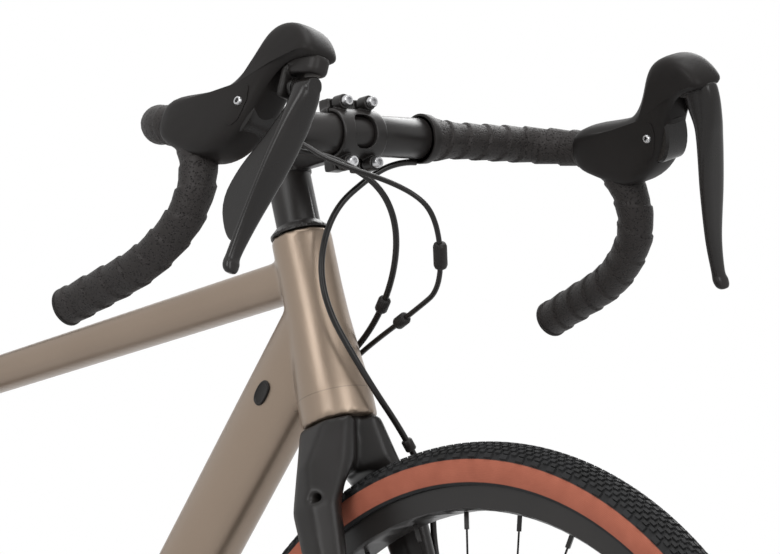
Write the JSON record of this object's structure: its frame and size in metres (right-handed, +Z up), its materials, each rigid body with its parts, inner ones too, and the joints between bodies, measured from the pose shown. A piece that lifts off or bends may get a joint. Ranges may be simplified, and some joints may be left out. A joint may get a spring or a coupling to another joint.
{
  "type": "gravel bike",
  "caption": "Drop-bar gravel bike with sloping frame, disc brakes, single chainring drivetrain, spoked tan-wall wheels and turning, pulling and shifting parts.",
  "frame": {"origin": "on the ground, midway between the two wheel axles, in the bike's middle plane", "axes": "+X forward, +Y to the rider's left, +Z up"},
  "size_m": [1.73, 0.5178, 0.9997],
  "materials": {
    "frame_paint": "satin metallic champagne",
    "fork_paint": "satin black",
    "black_alloy": "satin black anodised",
    "silver_alloy": "brushed silver",
    "steel": "brushed",
    "tyre_rubber": "black tread with tan side walls",
    "hood_rubber": "smooth matt black",
    "tape": "dimpled dark grip tape",
    "black_plastic": "matt black",
    "gloss_black": "gloss black",
    "hose": "smooth black",
    "saddle_cover": "black cover"
  },
  "bodies": {
    "frame": {"head_tube": "frame_paint", "top_tube": "frame_paint", "down_tube": "frame_paint", "seat_tube": "frame_paint", "bottom_bracket_shell": "frame_paint", "rear_stays": "frame_paint", "rear_dropouts": "frame_paint", "frame_fittings": "black_alloy", "rear_brake_caliper": "black_alloy", "rear_thru_axle": "black_alloy", "rear_control_lines": "hose", "chain": "steel", "derailleur_base": "black_alloy"},
    "steering": {"fork": "fork_paint", "headset_spacers": "black_alloy", "stem": "black_alloy", "stem_faceplate": "black_alloy", "handlebar": "black_alloy", "bar_tape": "tape", "lever_hoods": "hood_rubber", "front_brake_caliper": "black_alloy", "front_thru_axle": "black_alloy", "front_brake_hose": "hose", "rear_brake_hose": "hose", "rear_shift_housing": "hose"},
    "seatpost": {"seatpost": "black_alloy", "saddle_rails": "steel", "saddle": "saddle_cover"},
    "front_wheel": {"front_tyre": "tyre_rubber", "front_rim": "black_alloy", "front_hub_and_spokes": "black_alloy", "front_rotor": "steel"},
    "rear_wheel": {"rear_tyre": "tyre_rubber", "rear_rim": "black_alloy", "rear_hub_and_spokes": "black_alloy", "rear_rotor": "steel"},
    "cassette": {"cassette": "steel"},
    "crank": {"crank_arms": "black_alloy", "chainring": "steel"},
    "right_pedal": {"right_pedal": "black_alloy"},
    "left_pedal": {"left_pedal": "black_alloy"},
    "right_lever": {"right_lever_carrier": "black_plastic"},
    "right_blade": {"right_brake_blade": "gloss_black"},
    "right_paddle": {"right_shift_paddle": "gloss_black"},
    "left_lever": {"left_brake_lever": "gloss_black"},
    "outer_link": {"derailleur_outer_link": "black_alloy"},
    "inner_link": {"derailleur_inner_link": "black_alloy"},
    "moving_knuckle": {"derailleur_moving_knuckle": "black_plastic"},
    "cage": {"derailleur_cage": "black_plastic"},
    "upper_pulley": {"upper_pulley": "black_plastic"},
    "lower_pulley": {"lower_pulley": "black_plastic"},
    "front_left_pad": {"front_left_pad": "silver_alloy"},
    "front_right_pad": {"front_right_pad": "silver_alloy"},
    "rear_left_pad": {"rear_left_pad": "silver_alloy"},
    "rear_right_pad": {"rear_right_pad": "silver_alloy"}
  },
  "joints": [
    {"name": "steer", "type": "hinge", "parent": "frame", "child": "steering", "pos_m": [0.34103, 0, 0.71019], "axis": [-0.319, 0, 0.9478], "range_deg": [-40, 40], "deforming": ["rear_brake_hose", "rear_shift_housing"]},
    {"name": "seatpost_slide", "type": "slide", "parent": "frame", "child": "seatpost", "axis": [-0.2756, 0, 0.9613], "range_m": [-0.08, 0.03]},
    {"name": "front_wheel_spin", "type": "hinge", "parent": "steering", "child": "front_wheel", "pos_m": [0.515, 0, 0.35], "axis": [0, 1, 0], "continuous": true},
    {"name": "rear_wheel_spin", "type": "hinge", "parent": "frame", "child": "rear_wheel", "pos_m": [-0.515, 0, 0.35], "axis": [0, 1, 0], "continuous": true},
    {"name": "crank_spin", "type": "hinge", "parent": "frame", "child": "crank", "pos_m": [-0.09107, 0, 0.278], "axis": [0, 1, 0], "continuous": true, "deforming": ["chain"]},
    {"name": "cassette_spin", "type": "hinge", "parent": "frame", "child": "cassette", "pos_m": [-0.515, 0, 0.35], "axis": [0, 1, 0], "continuous": true, "deforming": ["chain"]},
    {"name": "right_pedal_spin", "type": "hinge", "parent": "crank", "child": "right_pedal", "pos_m": [0.08143, -0.1, 0.278], "axis": [0, 1, 0], "continuous": true},
    {"name": "left_pedal_spin", "type": "hinge", "parent": "crank", "child": "left_pedal", "pos_m": [-0.26357, 0.1, 0.278], "axis": [0, 1, 0], "continuous": true},
    {"name": "right_lever_pull", "type": "hinge", "parent": "steering", "child": "right_lever", "pos_m": [0.52062, -0.19342, 0.97239], "axis": [0, 0.9613, -0.2756], "range_deg": [0, 8], "stiffness_Nm_per_rad": 2, "springref_deg": -5.73},
    {"name": "left_lever_pull", "type": "hinge", "parent": "steering", "child": "left_lever", "pos_m": [0.52062, 0.19342, 0.97239], "axis": [0, 0.9613, 0.2756], "range_deg": [0, 16], "stiffness_Nm_per_rad": 2, "springref_deg": -5.73},
    {"name": "right_blade_swing", "type": "hinge", "parent": "right_lever", "child": "right_blade", "pos_m": [0.53, -0.19949, 0.95124], "axis": [1, 0, 0], "range_deg": [0, 20], "stiffness_Nm_per_rad": 0.5, "springref_deg": -5.73},
    {"name": "right_paddle_swing", "type": "hinge", "parent": "right_lever", "child": "right_paddle", "pos_m": [0.53, -0.19949, 0.95124], "axis": [1, 0, 0], "range_deg": [0, 18], "stiffness_Nm_per_rad": 0.5, "springref_deg": -5.73},
    {"name": "derailleur_swing", "type": "hinge", "parent": "frame", "child": "outer_link", "pos_m": [-0.551, -0.09106, 0.25423], "axis": [0, 0.6534, 0.757], "range_deg": [-26, 26], "deforming": ["chain"]},
    {"name": "inner_link_swing", "type": "hinge", "parent": "frame", "child": "inner_link", "pos_m": [-0.551, -0.07894, 0.24377], "axis": [0, 0.6534, 0.757], "range_deg": [-26, 26], "deforming": ["chain"]},
    {"name": "knuckle_swing", "type": "hinge", "parent": "outer_link", "child": "moving_knuckle", "pos_m": [-0.509, -0.09106, 0.25423], "axis": [0, 0.6534, 0.757], "range_deg": [-26, 26], "deforming": ["chain"]},
    {"name": "cage_swing", "type": "hinge", "parent": "moving_knuckle", "child": "cage", "pos_m": [-0.509, -0.0475, 0.249], "axis": [0, 1, 0], "range_deg": [-20, 20], "stiffness_Nm_per_rad": 1, "deforming": ["chain"]},
    {"name": "upper_pulley_spin", "type": "hinge", "parent": "cage", "child": "upper_pulley", "pos_m": [-0.509, -0.0475, 0.249], "axis": [0, 1, 0], "continuous": true, "deforming": ["chain"]},
    {"name": "lower_pulley_spin", "type": "hinge", "parent": "cage", "child": "lower_pulley", "pos_m": [-0.47158, -0.0475, 0.16495], "axis": [0, 1, 0], "continuous": true, "deforming": ["chain"]},
    {"name": "front_left_pad_slide", "type": "slide", "parent": "steering", "child": "front_left_pad", "axis": [0, -1, 0], "range_m": [0, 0.00045]},
    {"name": "front_right_pad_slide", "type": "slide", "parent": "steering", "child": "front_right_pad", "axis": [0, 1, 0], "range_m": [0, 0.00045]},
    {"name": "rear_left_pad_slide", "type": "slide", "parent": "frame", "child": "rear_left_pad", "axis": [0, -1, 0], "range_m": [0, 0.00045]},
    {"name": "rear_right_pad_slide", "type": "slide", "parent": "frame", "child": "rear_right_pad", "axis": [0, 1, 0], "range_m": [0, 0.00045]}
  ],
  "couplings": [
    {"joint": "cassette_spin", "follows": "crank_spin", "ratio": 1.9048},
    {"joint": "upper_pulley_spin", "follows": "crank_spin", "ratio": -3.6364},
    {"joint": "lower_pulley_spin", "follows": "crank_spin", "ratio": 3.6364},
    {"joint": "inner_link_swing", "follows": "derailleur_swing", "ratio": 1},
    {"joint": "knuckle_swing", "follows": "derailleur_swing", "ratio": -1},
    {"joint": "front_left_pad_slide", "follows": "left_lever_pull", "m_per_rad": 0.0016},
    {"joint": "front_right_pad_slide", "follows": "left_lever_pull", "m_per_rad": 0.0016},
    {"joint": "rear_left_pad_slide", "follows": "right_lever_pull", "m_per_rad": 0.0032},
    {"joint": "rear_right_pad_slide", "follows": "right_lever_pull", "m_per_rad": 0.0032}
  ]
}
